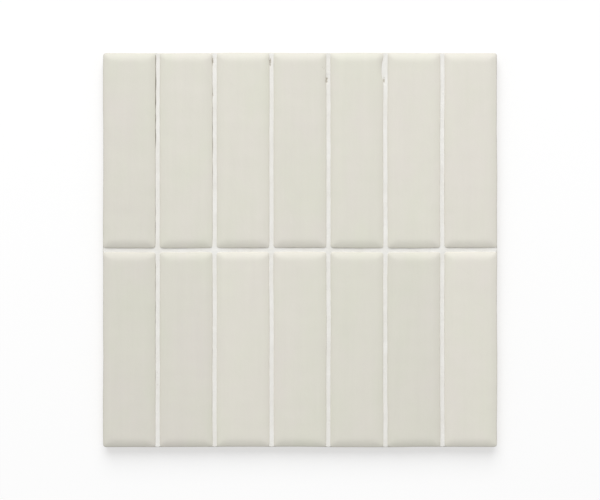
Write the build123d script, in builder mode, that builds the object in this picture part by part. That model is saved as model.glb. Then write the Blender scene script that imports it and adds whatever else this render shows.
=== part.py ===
"""A square ceramic wall tile whose face is scored into cushioned strips.

One fired piece: a slab with a keyed back, and two rows of pillowed strips that
stand above the groove floor. The origin is the centre of the back bedding plane,
+Z points out of the glazed face and the strips run along Y. Sizes are millimetres.
"""

import os
from math import radians, tan

from build123d import *

# The whole tile
tile_side = 200.0
tile_thickness = 8.0
side_draft_deg = 1.5  # the sides lean in towards the back
back_edge_radius = 0.8

# The strips on its face
column_count = 7
row_count = 2
groove_width = 2.2  # at the groove floor
groove_wall = 0.55  # from the groove floor up to the foot of a strip's shoulder
wall_draft_deg = 10.0
shoulder_run = 4.7  # how far in from its edge a strip bends down
shoulder_drop = 1.05  # how far it has bent down at that edge
strip_corner_radius = 1.2  # in plan
nose_radius = 0.25  # where the shoulder turns into the wall

# The key on its back
key_count = 8  # pockets each way
key_rib = 4.0
key_border = 6.0
key_depth = 0.8
key_draft_deg = 30.0

# The strips share the face out between the grooves
strip_width = (tile_side - (column_count - 1) * groove_width) / column_count
strip_length = (tile_side - (row_count - 1) * groove_width) / row_count
column_pitch = strip_width + groove_width
row_pitch = strip_length + groove_width
groove_depth = groove_wall + shoulder_drop
floor_height = tile_thickness - groove_depth

# A shoulder is an arc that leaves the crown level and ends at the strip's edge, so
# its radius follows from its run and its drop. The pillow that it is cut from is
# wider than the strip by what is left of that arc
shoulder_radius = (shoulder_run**2 + shoulder_drop**2) / (2 * shoulder_drop)
wall_inset = groove_wall * tan(radians(wall_draft_deg))
pillow_overhang = shoulder_radius - shoulder_run - wall_inset
pillow_width = strip_width + 2 * pillow_overhang
pillow_length = strip_length + 2 * pillow_overhang
pillow_height = 2 * shoulder_radius

# The pockets of the key share the back out between its border and its ribs
back_side = tile_side - 2 * floor_height * tan(radians(side_draft_deg))
key_side = (back_side - 2 * key_border - (key_count - 1) * key_rib) / key_count
key_pitch = key_side + key_rib

# One strip: the middle of a larger pillow, whose shoulders meet in hips at the corners,
# cut out by drafted walls
with BuildPart() as strip:
    with BuildSketch(Plane.XY.offset(tile_thickness)):
        Rectangle(pillow_width, pillow_length)
    extrude(amount=-pillow_height)
    crown = strip.faces().sort_by(Axis.Z)[-1]
    fillet(crown.edges(), shoulder_radius)
    with BuildSketch(Plane.XY.offset(floor_height)):
        RectangleRounded(strip_width, strip_length, strip_corner_radius)
    extrude(amount=groove_depth, taper=wall_draft_deg, mode=Mode.INTERSECT)
    # The edges that this cut made are the ones between the shoulders and the walls
    fillet(strip.edges(Select.NEW), nose_radius)

# The tile: a slab up to the groove floor, the strips on it and the key under it
with BuildPart() as tile:
    with BuildSketch(Plane.XY.offset(floor_height)):
        RectangleRounded(tile_side, tile_side, strip_corner_radius)
    extrude(amount=-floor_height, taper=side_draft_deg)
    back = tile.faces().sort_by(Axis.Z)[0]
    fillet(back.edges(), back_edge_radius)
    with GridLocations(column_pitch, row_pitch, column_count, row_count):
        add(strip.part)
    with BuildSketch():
        with GridLocations(key_pitch, key_pitch, key_count, key_count):
            Rectangle(key_side, key_side)
    extrude(amount=key_depth, taper=key_draft_deg, mode=Mode.SUBTRACT)

tile.part.label = "tile"
os.makedirs("parts", exist_ok=True)
export_step(tile.part, "parts/tile.step")
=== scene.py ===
# %% [markdown]
# # A scored ceramic wall tile
#
# The real thing is one slab of pressed and fired clay. Its face is scored into two rows of
# cushioned strips, a warm white glaze runs over them, the grooves between them are paler and
# matt, and the sides and the back are bare clay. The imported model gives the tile's true size
# and place, so the lesson starts by loading it and keeping its box.

# %% Load the frame
import math

import bmesh
import bpy
import numpy as np
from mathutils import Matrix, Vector


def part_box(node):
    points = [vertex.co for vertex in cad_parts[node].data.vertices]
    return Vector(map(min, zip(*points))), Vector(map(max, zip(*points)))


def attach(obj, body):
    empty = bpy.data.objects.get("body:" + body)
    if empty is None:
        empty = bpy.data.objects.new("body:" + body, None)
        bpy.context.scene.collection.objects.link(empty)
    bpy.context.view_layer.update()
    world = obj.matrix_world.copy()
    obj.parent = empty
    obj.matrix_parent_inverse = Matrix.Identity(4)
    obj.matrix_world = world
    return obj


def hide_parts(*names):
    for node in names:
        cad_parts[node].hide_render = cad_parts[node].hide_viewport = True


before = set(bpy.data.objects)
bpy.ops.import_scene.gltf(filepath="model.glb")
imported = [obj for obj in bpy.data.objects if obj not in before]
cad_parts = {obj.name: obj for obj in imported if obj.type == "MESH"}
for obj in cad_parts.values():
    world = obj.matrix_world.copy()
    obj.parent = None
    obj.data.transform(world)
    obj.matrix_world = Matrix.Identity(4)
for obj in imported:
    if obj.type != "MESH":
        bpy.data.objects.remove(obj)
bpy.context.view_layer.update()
low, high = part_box("tile")
MM = 0.001
half_side = (high.x - low.x) / 2
tile_top = high.z
print("nodes in the frame:", len(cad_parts))
print(f"tile: {2 * half_side / MM:.1f} mm square, {tile_top / MM:.1f} mm thick")

# %% [markdown]
# ## The sizes of the face
#
# A strip is flat on its crown, bends down along a round shoulder, turns over a small nose and
# drops down a steep wall to the groove floor. These few sizes describe that section. The rest is
# worked out: a shoulder that leaves the crown level is part of a circle, and its run and its drop
# give the circle's radius.

# %% Sizes of the face
column_count = 7
row_count = 2
groove_width = 2.2 * MM
groove_wall = 0.55 * MM
wall_draft = math.radians(10)
shoulder_run = 4.7 * MM
shoulder_drop = 1.05 * MM
strip_corner_radius = 1.2 * MM
nose_radius = 0.25 * MM
rim = 0.15 * MM  # the narrow arris outside the outer strips
rim_drop = 0.5 * MM
uneven_room = 0.10 * MM  # left below the tile's top for the unevenness of the crowns
sway_room = 0.30 * MM  # left inside the tile's outline for the sway of its edges

floor_height = tile_top - groove_wall - shoulder_drop
wall_inset = groove_wall * math.tan(wall_draft)
shoulder_radius = (shoulder_run**2 + shoulder_drop**2) / (2 * shoulder_drop)
print(f"shoulder radius {shoulder_radius / MM:.1f} mm, groove floor at {floor_height / MM:.1f} mm")

# %% [markdown]
# ## Soft unevenness
#
# Pressed clay shrinks in the kiln, so no edge is quite straight and no crown quite flat. A
# displacement texture could do this, but the same kind of waves is wanted for edges, heights and
# gaps, so the unevenness is a function: many waves of about one length, each running its own
# way, added up. The seed keeps it the same at every run.


# %% Soft waves
def soft_waves(x, y, wavelength, seed, waves=24):
    """Smooth random unevenness with a spread of about 1: the sum of plane waves whose
    directions, lengths and phases are drawn from the seed, divided by the root of half
    their number."""
    draw = np.random.default_rng(seed)
    heading = draw.uniform(0, 2 * np.pi, waves)
    length = wavelength * draw.uniform(0.7, 1.6, waves)
    phase = draw.uniform(0, 2 * np.pi, waves)
    along_wave = x[..., None] * np.cos(heading) + y[..., None] * np.sin(heading)
    return np.sin(2 * np.pi * along_wave / length + phase).sum(-1) / math.sqrt(waves / 2)


trial = np.linspace(-half_side, half_side, 40)
trial = soft_waves(trial, trial[:, None], 20 * MM, seed=1)
print(f"soft waves: mean {trial.mean():.2f}, spread {trial.std():.2f}")

# %% [markdown]
# ## The lines of the grid
#
# The face is one grid of points. A grid of even steps would need a million points to catch the
# small nose of every strip, so its lines are gathered where the surface bends: along the walls
# and noses, then wider and wider up the shoulders, and far apart over the flat crowns.

# %% Lines of the grid
shoulder_steps = 10
crown_step_across = 2.4 * MM
crown_step_along = 1.2 * MM


def strip_edges(count):
    """The low and the high edge of each strip along one side of the tile: the side and one
    groove more, divided evenly, less a groove for each strip and a rim at either end."""
    pitch = (2 * half_side + groove_width) / count
    low_edge = -half_side + pitch * np.arange(count)
    high_edge = low_edge + pitch - groove_width
    low_edge[0] += rim
    high_edge[-1] -= rim
    return low_edge, high_edge


def grid_lines(count, crown_step):
    """Places of the lines along one side. From a strip's edge inwards they stand at none and
    half of the wall's inset, then at that inset and the shoulder's run times the squares of
    even steps, then evenly over the crown. A groove has its middle line and one either side."""
    low_edge, high_edge = strip_edges(count)
    squares = np.linspace(0, 1, shoulder_steps + 1) ** 2
    from_edge = np.append(wall_inset * np.array([0, 0.5]), wall_inset + shoulder_run * squares)
    crown_start = low_edge + from_edge[-1]
    crown_length = high_edge - low_edge - 2 * from_edge[-1]
    crown_count = math.ceil(crown_length.max() / crown_step)
    crown_share = np.linspace(0, 1, crown_count + 1)[1:-1]
    middle = (high_edge[:-1] + low_edge[1:]) / 2
    lines = [
        low_edge[:, None] + from_edge,
        high_edge[:, None] - from_edge,
        crown_start[:, None] + crown_length[:, None] * crown_share,
        middle[:, None] + groove_width / 4 * np.array([-1, 0, 1]),
        np.array([-half_side, half_side]),
    ]
    return np.sort(np.concatenate([group.ravel() for group in lines]))


across = grid_lines(column_count, crown_step_across)
along = grid_lines(row_count, crown_step_along)[:, None]
print(f"grid: {across.size} lines across and {along.size} along")

# %% [markdown]
# ## Round corners on a square grid
#
# Seen from above, each strip has small round corners, and so have the pockets of the back. A
# square grid would cut them into steps, so near a corner the grid itself is bent: every point
# keeps its ring around the shape, but the ring is drawn in until it is round. The pull fades out
# beyond the shape's edge, so that neighbours still share straight lines.


# %% Bend a grid round the corners
tiny = 1e-6 * MM  # a length below this counts as none


def inside_shapes(lines, low_edge, high_edge, outer_reach):
    """For each line: the number of its shape, how far it lies inside that shape's nearer edge
    (negative outside), the way to that edge (-1 or 1), the reach from the edge to the middle
    of the gap beyond it, and whether the edge is the first or the last one."""
    middle = (high_edge[:-1] + low_edge[1:]) / 2
    shape = np.searchsorted(middle, lines)
    from_low = lines - low_edge[shape]
    from_high = high_edge[shape] - lines
    way = np.where(from_low < from_high, -1, 1)
    outer = np.where(way < 0, shape == 0, shape == low_edge.size - 1)
    gap_reach = (low_edge[1] - high_edge[0]) / 2
    return shape, np.minimum(from_low, from_high), way, np.where(outer, outer_reach, gap_reach), outer


def round_corners(in_x, way_x, reach_x, in_y, way_y, reach_y, radius, hold=False):
    """How far each point moves in x and y. Seen from a corner circle's centre, a point on a
    square ring moves towards the centre until its distance is the ring's half width. Outside
    the edge the move fades to nothing over the reach, except where hold is true."""
    corner_x = np.clip(radius - in_x, 0, radius)
    corner_y = np.clip(radius - in_y, 0, radius)
    distance = np.hypot(corner_x, corner_y)
    pull = np.maximum(corner_x, corner_y) / np.maximum(distance, tiny) - 1
    beyond = np.maximum(np.clip(-in_x / reach_x, 0, 1), np.clip(-in_y / reach_y, 0, 1))
    pull = pull * np.where(hold, 1, 1 - beyond)
    return way_x * corner_x * pull, way_y * corner_y * pull


column, in_x, way_x, reach_x, outer_x = inside_shapes(across, *strip_edges(column_count), rim)
row, in_y, way_y, reach_y, outer_y = inside_shapes(along, *strip_edges(row_count), rim)
shift_x, shift_y = round_corners(
    in_x, way_x, reach_x, in_y, way_y, reach_y, strip_corner_radius, hold=outer_x & outer_y
)
print(f"corner points move in by up to {np.hypot(shift_x, shift_y).max() / MM:.2f} mm")

# %% [markdown]
# ## The section of a strip
#
# The cushion of a strip is the easy part: a crown with a round shoulder on all four sides, which
# meet in soft hips at the corners. The wall and the nose are then cut off it. How deep that cut is
# depends only on the distance from the strip's edge, so it is worked out once, along a line, and
# read off for every point.

# %% Wall and nose
shoulder_slope = math.asin(shoulder_run / shoulder_radius)
nose_length = nose_radius * math.tan((math.pi / 2 - wall_draft - shoulder_slope) / 2)
nose_turn = np.linspace(wall_draft, math.pi / 2 - shoulder_slope, 12)
nose_centre_in = wall_inset - nose_length * math.sin(wall_draft) + nose_radius * math.cos(wall_draft)
nose_centre_up = groove_wall - nose_length * math.cos(wall_draft) - nose_radius * math.sin(wall_draft)
wall_in = np.append(0, nose_centre_in - nose_radius * np.cos(nose_turn))
wall_up = np.append(0, nose_centre_up + nose_radius * np.sin(nose_turn))


def cushion_height(bend):
    """Height of the cushion above the groove floor after it has bent for this distance: the
    crown's height less the fall of a circle of the shoulder's radius."""
    fall = shoulder_radius - np.sqrt(shoulder_radius**2 - bend**2)
    return groove_wall + shoulder_drop - fall


cut_depth = np.maximum(cushion_height(shoulder_run + wall_inset - wall_in) - wall_up, 0)
print(f"the wall is cut {cut_depth[0] / MM:.2f} mm deep at the strip's edge")

# %% [markdown]
# ## The face as one surface
#
# Now the parts come together. Each point's place is the bent grid with a slow sway, so that the
# edges wander as they do on a pressed tile. Its height is the cushion less the cut, or the groove
# floor where that is higher, with a little unevenness on both.

# %% Work out the face
hip_sharpness = 5  # at 2 the shoulders would meet in a ball, and a large number gives a sharp hip
sway = 0.07 * MM
crown_swell = 0.045 * MM
floor_ripple = 0.035 * MM

flat_x = across + shift_x
flat_y = along + shift_y
bend_x = np.clip(shoulder_run + wall_inset - (in_x - way_x * shift_x), 0, None)
bend_y = np.clip(shoulder_run + wall_inset - (in_y - way_y * shift_y), 0, None)
ring = np.minimum(in_x, in_y)
bend = (bend_x**hip_sharpness + bend_y**hip_sharpness) ** (1 / hip_sharpness)
height = np.maximum(cushion_height(bend) - np.interp(ring, wall_in, cut_depth), 0)
on_strip = np.clip(height / groove_wall, 0, 1)


def slow_and_quick(slow, quick, seed):
    """Unevenness of the face: slow waves, and quick ones at a bit under half their size."""
    return soft_waves(flat_x, flat_y, slow, seed) + 0.4 * soft_waves(flat_x, flat_y, quick, seed + 1)


def held_within(room, move):
    """The move, bent over so that it never reaches further than the room."""
    return room * np.tanh(move / room)


swell = crown_swell * slow_and_quick(34 * MM, 11 * MM, seed=11)
ripple = floor_ripple * slow_and_quick(12 * MM, 5 * MM, seed=13)
uneven = held_within(uneven_room, on_strip * swell + (1 - on_strip) * ripple)
shrink = 1 - sway_room / half_side
face_x = flat_x * shrink + held_within(sway_room, sway * slow_and_quick(60 * MM, 17 * MM, seed=21))
face_y = flat_y * shrink + held_within(sway_room, sway * slow_and_quick(60 * MM, 17 * MM, seed=23))
face_z = floor_height + height - uneven_room * on_strip + uneven

outline = (np.abs(across) >= half_side) | (np.abs(along) >= half_side)
face_z = np.where(outline, floor_height - rim_drop, face_z)
print(f"face: {face_z.size} points, {face_z.min() / MM:.2f} to {face_z.max() / MM:.2f} mm above the bed")

# %% [markdown]
# ## Chips and nicks
#
# The tile has been handled. Near the top of four grooves the white has crumbled away from the edge
# of a strip, one strip is nicked, and one has its edge worn back, so that the groove is wider there.
# The worn edge is moved sideways, and the move fades out up the shoulder and in the groove. Each
# chip is a small dent pressed into the heights, with a mask that lets the clay show there, greyed by
# painted shade of the pit.

# %% Wear one edge and press in the chips
worn_column = 4
worn_place = 91.2 * MM
worn_half_length = 4.8 * MM
worn_depth = 0.9 * MM
# In a chip the bare clay is greyed by painted shade of its pit, and bareness sets how much of it shows.
chips = [  # place across and along, half width, half length and depth in millimetres, and bareness
    (13.50, 86.0, 0.6, 1.7, 0.50, 0.85),
    (11.90, 92.3, 0.8, 1.2, 0.10, 0.50),
    (42.40, 86.0, 0.5, 1.7, 0.40, 0.70),
    (-15.10, 95.2, 0.5, 2.2, 0.40, 0.80),
    (-44.10, 78.9, 0.5, 1.5, 0.40, 0.55),
    (-44.15, 95.4, 0.5, 2.2, 0.40, 0.85),
]

near_edge = np.where(in_x > 0, 1 - in_x / shoulder_run, 1 + in_x / reach_x).clip(0, 1)
near_edge = near_edge * ((column == worn_column) & (way_x > 0))
face_x = face_x - worn_depth * near_edge * np.exp(-(((face_y - worn_place) / worn_half_length) ** 4))
chipped = np.zeros_like(face_z)
for chip_x, chip_y, half_width, half_length, depth, bareness in chips:
    off_x = (face_x / MM - chip_x) / half_width
    off_y = (face_y / MM - chip_y) / half_length
    dent = np.exp(-(off_x**2) - off_y**2)
    face_z = face_z - depth * MM * dent
    chipped = np.maximum(chipped, bareness * dent)
print(f"chips: {len(chips)}, {np.count_nonzero(chipped > 0.3)} points well inside them")

# %% [markdown]
# ## Hairline gaps
#
# In the first two grooves the white has shrunk away from the strip on its left, which opens a
# gap about as thin as a fingernail. Cutting such a slit into the grid would need many more lines.
# Instead its width is kept on the points of that half of the groove, so that the finish can darken
# just so much of the floor with painted shade of the slit, and the foot of the wall is pressed down.

# %% Open the hairline gaps
gap_depth = 0.4 * MM
gap_end = 2.5 * MM  # over which a gap closes at the end of a strip
gap_unevenness = 0.25  # of its width
gaps = [  # number of the strip on the left, lower end, upper end and greatest width in millimetres
    (0, 48.0, 112.0, 0.37),
    (0, -85.0, 70.0, 0.13),
    (1, 34.0, 84.0, 0.19),
]

gap_width = np.zeros_like(face_z)
for left_strip, low_end, high_end, greatest_width in gaps:
    from_middle = (2 * face_y / MM - low_end - high_end) / (high_end - low_end)
    taper = np.sqrt(np.clip(1 - from_middle**2, 0, 1))
    beside = (column == left_strip) & (way_x > 0) & (in_x < tiny)
    gap_width = np.maximum(gap_width, greatest_width * MM * taper * beside)
gap_width = gap_width * np.clip(in_y / gap_end, 0, 1)
wobble = 1 + gap_unevenness * soft_waves(face_x, face_y, 9 * MM, seed=51)
gap_width = gap_width * wobble.clip(0.3, 1.5)
foot = np.abs(in_x) < tiny
face_z = face_z - gap_depth * foot * gap_width / gap_width.max()
print(f"gaps: up to {gap_width.max() / MM:.2f} mm wide")

# %% [markdown]
# ## The sides
#
# A side is a short profile carried round the tile's outline. The glaze runs over the arris and
# ends a little way down in a thin wavy lip, below it the bare clay leans in towards the back, and
# the back edge is rounded. Since the tile is square and the insets are small, drawing the outline
# in towards the middle of the tile gives each lower ring.

# %% Work out the sides
side_draft = math.radians(1.5)
back_edge_radius = 0.8 * MM
glaze_thickness = 0.12 * MM
glaze_line = 4.4 * MM
glaze_wander = 0.32 * MM
lip_height = 0.35 * MM
lip_undercut = 0.08 * MM


def loop_of(grid):
    """The border of a grid of values as one list, anticlockwise from its first corner."""
    return np.concatenate([grid[0, :-1], grid[:-1, -1], grid[-1, :0:-1], grid[:0:-1, 0]])


rim_x = loop_of(face_x)
rim_y = loop_of(face_y)
lip = glaze_line + glaze_wander * soft_waves(rim_x, rim_y, 16 * MM, seed=31)
turn = np.linspace(0, np.pi / 2, 6)[:, None]
level = np.ones_like(rim_x)
side_z = np.concatenate(
    [
        [lip + lip_height, lip, lip - lip_undercut],
        np.linspace(0.82, 0.32, 4)[:, None] * glaze_line * level,
        back_edge_radius * (1 - np.sin(turn)) * level,
    ]
)
inset = np.tan(side_draft) * (floor_height - rim_drop - side_z)
inset[2:] += glaze_thickness
inset[-turn.size :] += back_edge_radius * (1 - np.cos(turn))
side_x = rim_x * (1 - inset / half_side)
side_y = rim_y * (1 - inset / half_side)
print(f"sides: {side_z.shape[0]} rings of {side_z.shape[1]} points")

# %% [markdown]
# ## The keyed back
#
# The back of a wall tile is pressed into a grid of shallow pockets, which the adhesive keys into.
# The ribs between them lie in the bedding plane. It is the same kind of surface as the face: lines
# gathered at the pocket walls, corners bent round, and a height that depends on the distance from
# the pocket's edge.

# %% Work out the back
key_count = 8
key_rib = 4.0 * MM
key_border = 6.0 * MM
key_depth = 0.8 * MM
key_draft = math.radians(30)
key_corner_radius = 2.2 * MM
press_mark = 0.05 * MM

back_half = half_side - floor_height * math.tan(side_draft)
key_side = (2 * back_half - 2 * key_border - (key_count - 1) * key_rib) / key_count
key_low = -back_half + key_border + (key_side + key_rib) * np.arange(key_count)
key_high = key_low + key_side
wall_run = key_depth * math.tan(key_draft)
# Distances of the grid's lines from a pocket's edge
on_wall = wall_run * np.array([0, 0.5, 1.0, 1.5])
on_bottom = key_side * np.array([0.08, 0.2, 0.35, 0.5])
from_edge = np.append(on_wall, on_bottom)
bed_half = back_half - back_edge_radius - key_border / 4
bed_lines = [key_low[:, None] + from_edge, key_high[:, None] - from_edge[:-1]]
bed_lines += [(key_high[:-1] + key_low[1:]) / 2, np.array([-bed_half, bed_half])]
bed = np.sort(np.concatenate([group.ravel() for group in bed_lines]))

_, bed_in, bed_way, bed_reach, _ = inside_shapes(bed, key_low, key_high, key_rib / 2)
bed_shift_x, bed_shift_y = round_corners(
    bed_in, bed_way, bed_reach, bed_in[:, None], bed_way[:, None], bed_reach[:, None], key_corner_radius
)
bed_x = bed + bed_shift_x
bed_y = bed[:, None] + bed_shift_y
into_wall = np.clip(np.minimum(bed_in, bed_in[:, None]) / wall_run, 0, 1)
bed_z = into_wall * (key_depth + press_mark * soft_waves(bed_x, bed_y, 14 * MM, seed=41))
print(f"back: {bed_z.size} points, pockets {key_side / MM:.1f} mm square")

# %% [markdown]
# ## One closed mesh
#
# The face, the sides and the back are joined into one skin. The side's rings share their points
# with the border of the face. The back has fewer points round its border than the last ring, so
# those two loops are zipped: both are walked together, and each step along either one makes a
# triangle with the point that the other has reached.


# %% Cells of a grid, and a zip between two loops
def quads(grid):
    """The four corners of every cell of a grid of point numbers, anticlockwise."""
    return np.stack([grid[:-1, :-1], grid[:-1, 1:], grid[1:, 1:], grid[1:, :-1]], -1).reshape(-1, 4)


def loop_places(lines_x, lines_y):
    """How far along the border each of its points lies, from 0 to 4 with one for each side."""
    share_x = (lines_x - lines_x[0]) / (lines_x[-1] - lines_x[0])
    share_y = (lines_y - lines_y[0]) / (lines_y[-1] - lines_y[0])
    return np.concatenate([share_x[:-1], 1 + share_y[:-1], 3 - share_x[:0:-1], 4 - share_y[:0:-1]])


def zip_loops(outer, outer_place, inner, inner_place):
    """Triangles between two loops, seen from below. A step along one loop pairs with the point
    that the other loop has reached by then, which is a count of its places so far."""
    outer_end = np.append(outer_place[1:], 4)
    inner_end = np.append(inner_place[1:], 4)
    reached_inner = inner[np.searchsorted(inner_end, outer_end, "left") % inner.size]
    reached_outer = outer[np.searchsorted(outer_end, inner_end, "right") % outer.size]
    along_outer = np.stack([np.roll(outer, -1), outer, reached_inner], -1)
    along_inner = np.stack([inner, np.roll(inner, -1), reached_outer], -1)
    return np.concatenate([along_outer, along_inner])


print("a grid of 2 by 3 points has the cells", quads(np.arange(6).reshape(2, 3)).tolist())

# %% Join the skin
face_index = np.arange(face_z.size).reshape(face_z.shape)
side_index = face_z.size + np.arange(side_z.size).reshape(side_z.shape)
bed_index = face_z.size + side_z.size + np.arange(bed_z.size).reshape(bed_z.shape)
rings = np.concatenate([loop_of(face_index)[None], side_index])
rings = np.append(rings, rings[:, :1], axis=1)

face_quads = quads(face_index)
side_quads = quads(rings)[:, ::-1]
bed_quads = quads(bed_index)[:, ::-1]
edge_triangles = zip_loops(
    side_index[-1], loop_places(across, along[:, 0]), loop_of(bed_index), loop_places(bed, bed)
)
points = np.concatenate(
    [
        np.stack([face_x, face_y, face_z], -1).reshape(-1, 3),
        np.stack([side_x, side_y, side_z], -1).reshape(-1, 3),
        np.stack([bed_x, bed_y, bed_z], -1).reshape(-1, 3),
    ]
)
faces = [*face_quads.tolist(), *side_quads.tolist(), *bed_quads.tolist(), *edge_triangles.tolist()]
triangles = 2 * (len(face_quads) + len(side_quads) + len(bed_quads)) + len(edge_triangles)
print(f"skin: {len(points)} points, {len(faces)} faces, {triangles} triangles")

# %% [markdown]
# The mesh is smooth shaded except over steep bends, such as the pocket walls. A closed skin has no
# edge with fewer or more than two faces, and a volume above zero says that its faces point outwards.

# %% Make the mesh and test it
sharp_bend = math.radians(50)

skin = bpy.data.meshes.new("glazed_tile")
skin.from_pydata(points, [], faces)
skin.shade_smooth()
skin.set_sharp_from_angle(angle=sharp_bend)
tile = bpy.data.objects.new("glazed_tile", skin)
scene = bpy.context.scene
scene.collection.objects.link(tile)

solid = bmesh.new()
solid.from_mesh(skin)
open_edges = sum(not edge.is_manifold for edge in solid.edges)
volume = solid.calc_volume(signed=True)
solid.free()
print(f"tile: {open_edges} open edges, {volume / MM**3 / 1000:.1f} cubic centimetres")

# %% [markdown]
# ## Which finish goes where
#
# Three finishes meet on this one skin: glaze on the strips and over the arris, a matt white in the
# grooves, bare clay below the glaze line and on the back. Every face gets the number of its
# finish. What changes within a finish is kept on the points, where the shaders can read it: the
# tone of each strip, drawn at random and a little lighter towards the right, the distance from the
# strip's edge, the chips and the widths of the gaps.

# %% Mark the finishes
GLAZE, GROOVE, CLAY = range(3)
glazed_rings = 2
kiln_seed = 440
strongest_tone = 1.6

low_ground = ring < tiny
floor_cells = low_ground[:-1, :-1] & low_ground[:-1, 1:] & low_ground[1:, 1:] & low_ground[1:, :-1]
floor_cells[[0, -1]] = False
floor_cells[:, [0, -1]] = False
finish_of = np.full(len(faces), CLAY)
finish_of[: len(face_quads)] = np.where(floor_cells.ravel(), GROOVE, GLAZE)
finish_of[len(face_quads) :][: glazed_rings * rim_x.size] = GLAZE
skin.polygons.foreach_set("material_index", finish_of.astype(np.int32))


def keep_on_points(name, on_face, elsewhere):
    """Stores a number for each point: these values on the face, one value everywhere else."""
    values = np.full(len(points), elsewhere, np.float32)
    values[: face_z.size] = np.broadcast_to(on_face, face_z.shape).ravel()
    skin.attributes.new(name, "FLOAT", "POINT").data.foreach_set("value", values)


strip_tone = np.random.default_rng(kiln_seed).normal(0, 1, (row_count, column_count))
# An even rise across the columns makes the strips a little lighter from left to right.
strip_tone = strip_tone.clip(-strongest_tone, strongest_tone) + np.linspace(-1, 1, column_count)
keep_on_points("strip_tone", strip_tone[row, column], 0)
keep_on_points("edge_mm", ring / MM, 3)
keep_on_points("chipped", chipped, 0)
keep_on_points("gap_mm", gap_width / MM, 0)
glazed, in_grooves, unglazed = np.bincount(finish_of)
print(f"faces: {glazed} glazed, {in_grooves} in the grooves, {unglazed} of bare clay")

# %% [markdown]
# ## Tools for the finishes
#
# A shader is a small network of nodes. Adding a node always means the same three things: make it,
# set its options, and give each input a number or a link. One helper does that. Colours are
# written as a screen shows them, from 0 to 255, and are turned into the linear light that shaders
# work in.


# %% Node helpers
def linear(red, green, blue):
    """The linear light of a colour written for the screen, by the sRGB curve."""
    shown = np.array([red, green, blue]) / 255
    light = np.where(shown <= 0.04045, shown / 12.92, ((shown + 0.055) / 1.055) ** 2.4)
    return (*light.tolist(), 1.0)


def add_node(tree, kind, inputs=None, **options):
    """Adds a node, sets its options, and gives each input a value or a link."""
    node = tree.nodes.new(kind)
    for name, value in options.items():
        setattr(node, name, value)
    for key, value in (inputs or {}).items():
        if isinstance(value, bpy.types.NodeSocket):
            tree.links.new(value, node.inputs[key])
        else:
            node.inputs[key].default_value = value
    return node


def sum_of(tree, value, factor, offset):
    """The value times a factor plus an offset, which may be values of other nodes."""
    inputs = {0: value, 1: factor, 2: offset}
    return add_node(tree, "ShaderNodeMath", inputs, operation="MULTIPLY_ADD").outputs[0]


def between(tree, share, first, second):
    """A colour on the way from the first to the second."""
    inputs = {0: share, 6: first, 7: second}
    return add_node(tree, "ShaderNodeMix", inputs, data_type="RGBA").outputs[2]


def stretch(tree, value, low, high, to_low=0.0, to_high=1.0):
    """The value with its range from low to high stretched to another one, and cut off there."""
    inputs = {0: value, 1: low, 2: high, 3: to_low, 4: to_high}
    return add_node(tree, "ShaderNodeMapRange", inputs).outputs[0]


def number_on(tree, name):
    """The number that the points of the skin carry under this name."""
    return add_node(tree, "ShaderNodeAttribute", attribute_name=name).outputs["Fac"]


print("a mid grey of 188 on the screen is", round(linear(188, 188, 188)[0], 3), "in linear light")

# %% [markdown]
# ## Cloud patches
#
# Fired clay and glaze are never one flat colour. Soft cloud patches come back in every finish here,
# so they are made once, as a node group, and placed in each material with their own scale. They
# could be painted on an image, but noise on the tile's own coordinates stays sharp at any distance,
# stays with the tile wherever it is put, and can be drawn out along the strips.


# %% Cloud patches
def new_group(name, inputs, outputs):
    """An empty node group with these numbers going in and out. Gives its input and output nodes."""
    group = bpy.data.node_groups.new(name, "ShaderNodeTree")
    for label, value in inputs.items():
        socket = group.interface.new_socket(label, in_out="INPUT", socket_type="NodeSocketFloat")
        socket.default_value = value
    for label in outputs:
        group.interface.new_socket(label, in_out="OUTPUT", socket_type="NodeSocketFloat")
    return group, add_node(group, "NodeGroupInput"), add_node(group, "NodeGroupOutput")


clouds, given, result = new_group("cloud patches", {"Scale": 60, "Lengthwise": 1}, ["Patches"])
place = add_node(clouds, "ShaderNodeTexCoord").outputs["Object"]
drawn_out = add_node(clouds, "ShaderNodeCombineXYZ", {0: 1, 1: given.outputs["Lengthwise"], 2: 1})
stretched = {0: place, 1: drawn_out.outputs[0]}
place = add_node(clouds, "ShaderNodeVectorMath", stretched, operation="MULTIPLY").outputs[0]
noise = {"Vector": place, "Scale": given.outputs["Scale"], "Detail": 3, "Roughness": 0.55}
noise = add_node(clouds, "ShaderNodeTexNoise", noise)
clouds.links.new(stretch(clouds, noise.outputs[0], 0.3, 0.7), result.inputs["Patches"])


def clouds_at(tree, scale, lengthwise=1.0):
    """Cloud patches at this many to the metre, drawn out along the strips if lengthwise is small."""
    inputs = {"Scale": scale, "Lengthwise": lengthwise}
    return add_node(tree, "ShaderNodeGroup", inputs, node_tree=clouds).outputs["Patches"]


print(f"group '{clouds.name}': {len(clouds.nodes)} nodes")

# %% [markdown]
# ## Grain and specks
#
# The matt white of the grooves and the bare clay are both dry and sandy, with a speck here and there.
# The grain is fine noise. The specks are the middles of scattered cells, and only the cells whose
# random number is high get one.

# %% Fine grain
speck_cells = 170  # to the metre
speck_radius = 0.13  # of a cell
speck_share = 0.3  # of the cells

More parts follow.
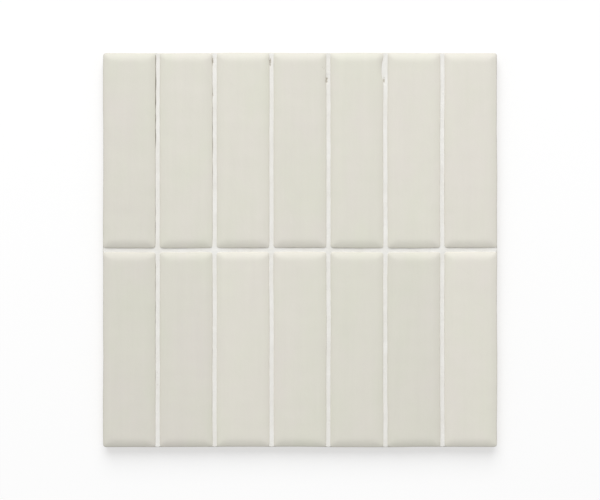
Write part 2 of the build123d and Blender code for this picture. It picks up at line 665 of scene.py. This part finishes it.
grain, given, result = new_group("fine grain", {"Scale": 900}, ["Grain", "Specks"])
place = add_node(grain, "ShaderNodeTexCoord").outputs["Object"]
noise = {"Vector": place, "Scale": given.outputs["Scale"], "Detail": 2, "Roughness": 0.6}
noise = add_node(grain, "ShaderNodeTexNoise", noise)
grain.links.new(noise.outputs[0], result.inputs["Grain"])
cells = add_node(grain, "ShaderNodeTexVoronoi", {"Vector": place, "Scale": speck_cells}).outputs
spot = stretch(grain, cells["Distance"], 0.4 * speck_radius, speck_radius, 1, 0)
drawn = add_node(grain, "ShaderNodeSeparateColor", {0: cells["Color"]}).outputs[0]
chosen = {0: drawn, 1: 1 - speck_share}
chosen = add_node(grain, "ShaderNodeMath", chosen, operation="GREATER_THAN").outputs[0]
grain.links.new(sum_of(grain, spot, chosen, 0), result.inputs["Specks"])


def grain_at(tree, scale):
    """The fine grain at this many to the metre: its height, and its specks."""
    outputs = add_node(tree, "ShaderNodeGroup", {"Scale": scale}, node_tree=grain).outputs
    return outputs["Grain"], outputs["Specks"]


print(f"group '{grain.name}': {len(grain.nodes)} nodes")

# %% [markdown]
# ## Crumbled spots
#
# A chip leaves a ragged edge, not a round one. The mask that the points carry is smooth, so it is
# multiplied by noise, and only what then rises over a threshold is bare.

# %% Crumbled spots
crumbs_to_the_metre = 1200
raggedness = 2.6
threshold = 0.38
softness = 0.1  # to either side of the threshold
most_bare = 0.9

crumbs, given, result = new_group("crumbled spots", {"Chipped": 0}, ["Bare"])
place = add_node(crumbs, "ShaderNodeTexCoord").outputs["Object"]
noise = {"Vector": place, "Scale": crumbs_to_the_metre, "Detail": 3}
noise = add_node(crumbs, "ShaderNodeTexNoise", noise).outputs[0]
noise = sum_of(crumbs, noise, raggedness, 1 - raggedness / 2)
ragged = sum_of(crumbs, given.outputs["Chipped"], noise, 0)
showing = stretch(crumbs, ragged, threshold - softness, threshold + softness, 0, most_bare)
crumbs.links.new(showing, result.inputs["Bare"])


def bare_spots(tree):
    """How bare the clay is: the chips that the points carry, with crumbled edges."""
    inputs = {"Chipped": number_on(tree, "chipped")}
    return add_node(tree, "ShaderNodeGroup", inputs, node_tree=crumbs).outputs["Bare"]


print(f"group '{crumbs.name}': {len(crumbs.nodes)} nodes")

# %% [markdown]
# ## The glaze
#
# The glaze is a warm off-white with a satin gloss. It is cloudy, a little pinker here and greener
# there, and runs in faint streaks along the strips. No two strips are quite alike. At the noses it
# thins out and the clay warms it, and in the chips the clay is bare, greyed by painted shade of the
# pit. Its surface is slightly rippled, which shows in the highlights.


# %% Glaze on the strips
def new_finish(name):
    """A material and its shader."""
    material = bpy.data.materials.new(name)
    material.use_nodes = True
    return material, material.node_tree, material.node_tree.nodes["Principled BSDF"]


def roughen(tree, shader, height, depth):
    """Raises the shader's surface by a height between 0 and 1 times a depth in metres."""
    bump = add_node(tree, "ShaderNodeBump", {"Height": height, "Strength": 1, "Distance": depth})
    tree.links.new(bump.outputs[0], shader.inputs["Normal"])


pinkish = linear(220, 216, 207)
greenish = linear(218, 217, 204)
bare_clay = linear(196, 184, 164)
# Bare clay for the chips, greyed by painted shade of the pit
shaded_bare_clay = linear(184, 178, 165)
tone_strength = 0.018
streak_strength = 0.02
middle_brightness = 1 - streak_strength / 2
thin_edge = 0.9  # millimetres over which the glaze thins out
thinnest = 0.08  # the share of clay that shows at the edge
ripple_depth = 0.03 * MM

glaze, tree, shader = new_finish("strip glaze")
patches = clouds_at(tree, 55, 0.6)
streaks = clouds_at(tree, 330, 0.05)
ripples = clouds_at(tree, 260, 0.6)
colour = between(tree, patches, pinkish, greenish)
bright = sum_of(tree, number_on(tree, "strip_tone"), tone_strength, middle_brightness)
bright = sum_of(tree, streaks, streak_strength, bright)
scaled = {0: colour, "Scale": bright}
colour = add_node(tree, "ShaderNodeVectorMath", scaled, operation="SCALE").outputs[0]
thin = stretch(tree, number_on(tree, "edge_mm"), 0, thin_edge, thinnest, 0)
colour = between(tree, thin, colour, bare_clay)
bare = bare_spots(tree)
# In the chips: bare clay with painted shade of the pit
colour = between(tree, bare, colour, shaded_bare_clay)
tree.links.new(colour, shader.inputs["Base Color"])
sheen = stretch(tree, clouds_at(tree, 40), 0, 1, 0.50, 0.60)
tree.links.new(sum_of(tree, bare, 0.4, sheen), shader.inputs["Roughness"])
shader.inputs["Specular IOR Level"].default_value = 0.4
roughen(tree, shader, ripples, ripple_depth)
skin.materials.append(glaze)
print(f"glaze: {len(tree.nodes)} nodes, reflects {pinkish[1]:.0%} of green light")

# %% [markdown]
# ## The grooves
#
# The floors of the grooves are whiter than the strips and quite matt, with a sandy grain. They are
# a little greyer where dust has settled. A gap is darkened with painted shade of the slit, as far
# from the strip's edge as its width. Distances out into the groove count as negative, so the sum of
# both is above zero inside a gap.

# %% White of the grooves
clean_white = linear(236, 235, 231)
dusty_white = linear(229, 227, 221)
speck_grey = linear(190, 184, 172)
# Painted shade of the slit in a hairline gap
gap_slit_shade = linear(138, 131, 120)
gap_blur = 0.12  # millimetres over which the white turns dark

groove, tree, shader = new_finish("groove white")
sand, specks = grain_at(tree, 1100)
colour = between(tree, clouds_at(tree, 110), clean_white, dusty_white)
colour = between(tree, sum_of(tree, specks, 0.25, 0), colour, speck_grey)
# In the chips: bare clay with painted shade of the pit
colour = between(tree, bare_spots(tree), colour, shaded_bare_clay)
inside_gap = sum_of(tree, number_on(tree, "gap_mm"), 1, number_on(tree, "edge_mm"))
# Painted shade of the slit over the width of a gap
colour = between(tree, stretch(tree, inside_gap, 0, gap_blur), colour, gap_slit_shade)
tree.links.new(colour, shader.inputs["Base Color"])
shader.inputs["Roughness"].default_value = 0.8
roughen(tree, shader, sand, 0.15 * MM)
skin.materials.append(groove)
print("groove white: roughness", round(shader.inputs["Roughness"].default_value, 2))

# %% [markdown]
# ## The bare clay
#
# Below the glaze line and on the back the fired clay shows: pale buff, dry and grainy, toned by the
# kiln and sprinkled with a few brown specks.

# %% Bare clay
pale_buff = linear(226, 214, 194)
toned_buff = linear(210, 196, 173)
speck_brown = linear(140, 108, 80)

clay, tree, shader = new_finish("bare clay")
sand, specks = grain_at(tree, 800)
colour = between(tree, clouds_at(tree, 35), pale_buff, toned_buff)
colour = between(tree, sum_of(tree, specks, 0.45, 0), colour, speck_brown)
tree.links.new(colour, shader.inputs["Base Color"])
shader.inputs["Roughness"].default_value = 0.88
shader.inputs["Specular IOR Level"].default_value = 0.3
roughen(tree, shader, sand, 0.12 * MM)
skin.materials.append(clay)
print("finishes on the skin:", ", ".join(material.name for material in skin.materials))

# %% [markdown]
# ## A pale floor
#
# The tile lies on a plain floor. To the camera the floor adds a glow of its own up to white, which
# leaves the soft shadow in place and throws no more light on the tile. The glow grows with the
# distance from the tile, because the lamp reaches less far than the floor does: without that, a low
# view would show a grey horizon.

# %% Pale floor
floor_half = 4.0
floor_gap = 0.02 * MM
near_glow = 0.5
far_glow = 1.0
glow_grows_from = 0.4
glow_grows_to = 1.6


def seen_directly(tree):
    """One for what the camera sees, straight or by way of a reflection or glass, and else none."""
    paths = add_node(tree, "ShaderNodeLightPath").outputs
    seen = paths["Is Camera Ray"]
    for name in ("Is Glossy Ray", "Is Transmission Ray"):
        either = {0: seen, 1: paths[name]}
        seen = add_node(tree, "ShaderNodeMath", either, operation="MAXIMUM").outputs[0]
    return seen


floor_level = low.z - floor_gap
turns = [(-1, -1), (1, -1), (1, 1), (-1, 1)]
corners = [(x * floor_half, y * floor_half, floor_level) for x, y in turns]
floor_skin = bpy.data.meshes.new("floor")
floor_skin.from_pydata(corners, [], [(0, 1, 2, 3)])
floor = bpy.data.objects.new("floor", floor_skin)
scene.collection.objects.link(floor)
pale, tree, shader = new_finish("pale floor")
shader.inputs["Base Color"].default_value = linear(188, 188, 188)
shader.inputs["Roughness"].default_value = 1.0
shader.inputs["Specular IOR Level"].default_value = 0.0
shader.inputs["Emission Color"].default_value = (1, 1, 1, 1)
place = add_node(tree, "ShaderNodeTexCoord").outputs["Object"]
distance = add_node(tree, "ShaderNodeVectorMath", {0: place}, operation="LENGTH").outputs["Value"]
glow = stretch(tree, distance, glow_grows_from, glow_grows_to, near_glow, far_glow)
tree.links.new(sum_of(tree, seen_directly(tree), glow, 0), shader.inputs["Emission Strength"])
floor_skin.materials.append(pale)
print(f"floor {2 * floor_half:.0f} m wide, {floor_gap / MM:.2f} mm under the tile")

# %% [markdown]
# ## Surroundings
#
# About half of the light comes evenly from all round, as in a white room. What the camera sees of the
# surroundings, straight or mirrored in the glaze, is plain white.

# %% Surroundings
surroundings_share = 0.48

scene.world = bpy.data.worlds.new("soft surroundings")
scene.world.use_nodes = True
tree = scene.world.node_tree
sky = tree.nodes["Background"]
sky.inputs["Color"].default_value = (1, 1, 1, 1)
brightness = sum_of(tree, seen_directly(tree), 1 - surroundings_share, surroundings_share)
tree.links.new(brightness, sky.inputs["Strength"])
print(f"the surroundings give {surroundings_share:.0%} of the light")

# %% [markdown]
# ## A soft lamp
#
# One large lamp stands beyond the tile's top edge, only slightly to the left, so that every shoulder
# shades from light to dark. Its power is worked out and not tried out: the light that reaches the
# tile is summed over small patches of the lamp, and the power is set so that the lamp and the
# surroundings together light a flat surface nearly as brightly as its colour is written. Pi comes in
# twice, because light spreads once as it leaves the lamp and again as it leaves a matt surface.

# %% Soft lamp
lamp_share = 0.50
lamp_place = np.array([-0.14, 1.95, 1.75])
lamp_size = 2.2
patch_count = 20  # each way

turned = Vector(lamp_place).to_track_quat("Z", "Y")
spread = (np.arange(patch_count) + 0.5) / patch_count - 0.5
patch_x, patch_y = np.meshgrid(lamp_size * spread, lamp_size * spread)
patch = np.stack([patch_x.ravel(), patch_y.ravel(), np.zeros(spread.size**2)])
patch = lamp_place[:, None] + np.array(turned.to_matrix()) @ patch
patch_distance = np.linalg.norm(patch, axis=0)
facing = lamp_place @ patch / np.linalg.norm(lamp_place) / patch_distance
reaching = (facing * patch[2] / patch_distance**3).mean()
lamp_data = bpy.data.lights.new("soft lamp", "AREA")
lamp_data.size = lamp_size
lamp_data.energy = lamp_share * math.pi**2 / reaching
lamp = bpy.data.objects.new("soft lamp", lamp_data)
lamp.location = lamp_place
lamp.rotation_euler = turned.to_euler()
scene.collection.objects.link(lamp)
print(f"lamp: {lamp_data.energy:.0f} W at {np.linalg.norm(lamp_place):.2f} m")

# %% [markdown]
# ## Camera
#
# The tile is seen straight on, so here the camera looks straight down on it, with the strips
# upright in the picture. A long lens from some way off keeps the sides out of sight.

# %% Camera
lens = 100
sensor = 36
tile_share = 0.66  # of the picture's width

camera_data = bpy.data.cameras.new("camera")
camera_data.lens = lens
camera_data.sensor_width = sensor
camera = bpy.data.objects.new("camera", camera_data)
camera.location = (0, 0, tile_top + 2 * half_side / tile_share * lens / sensor)
scene.collection.objects.link(camera)
scene.camera = camera
scene.view_settings.view_transform = "Standard"
print(f"camera {camera.location.z:.2f} m above the floor")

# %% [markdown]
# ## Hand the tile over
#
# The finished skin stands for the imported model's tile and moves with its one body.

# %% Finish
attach(tile, "root")
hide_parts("tile")
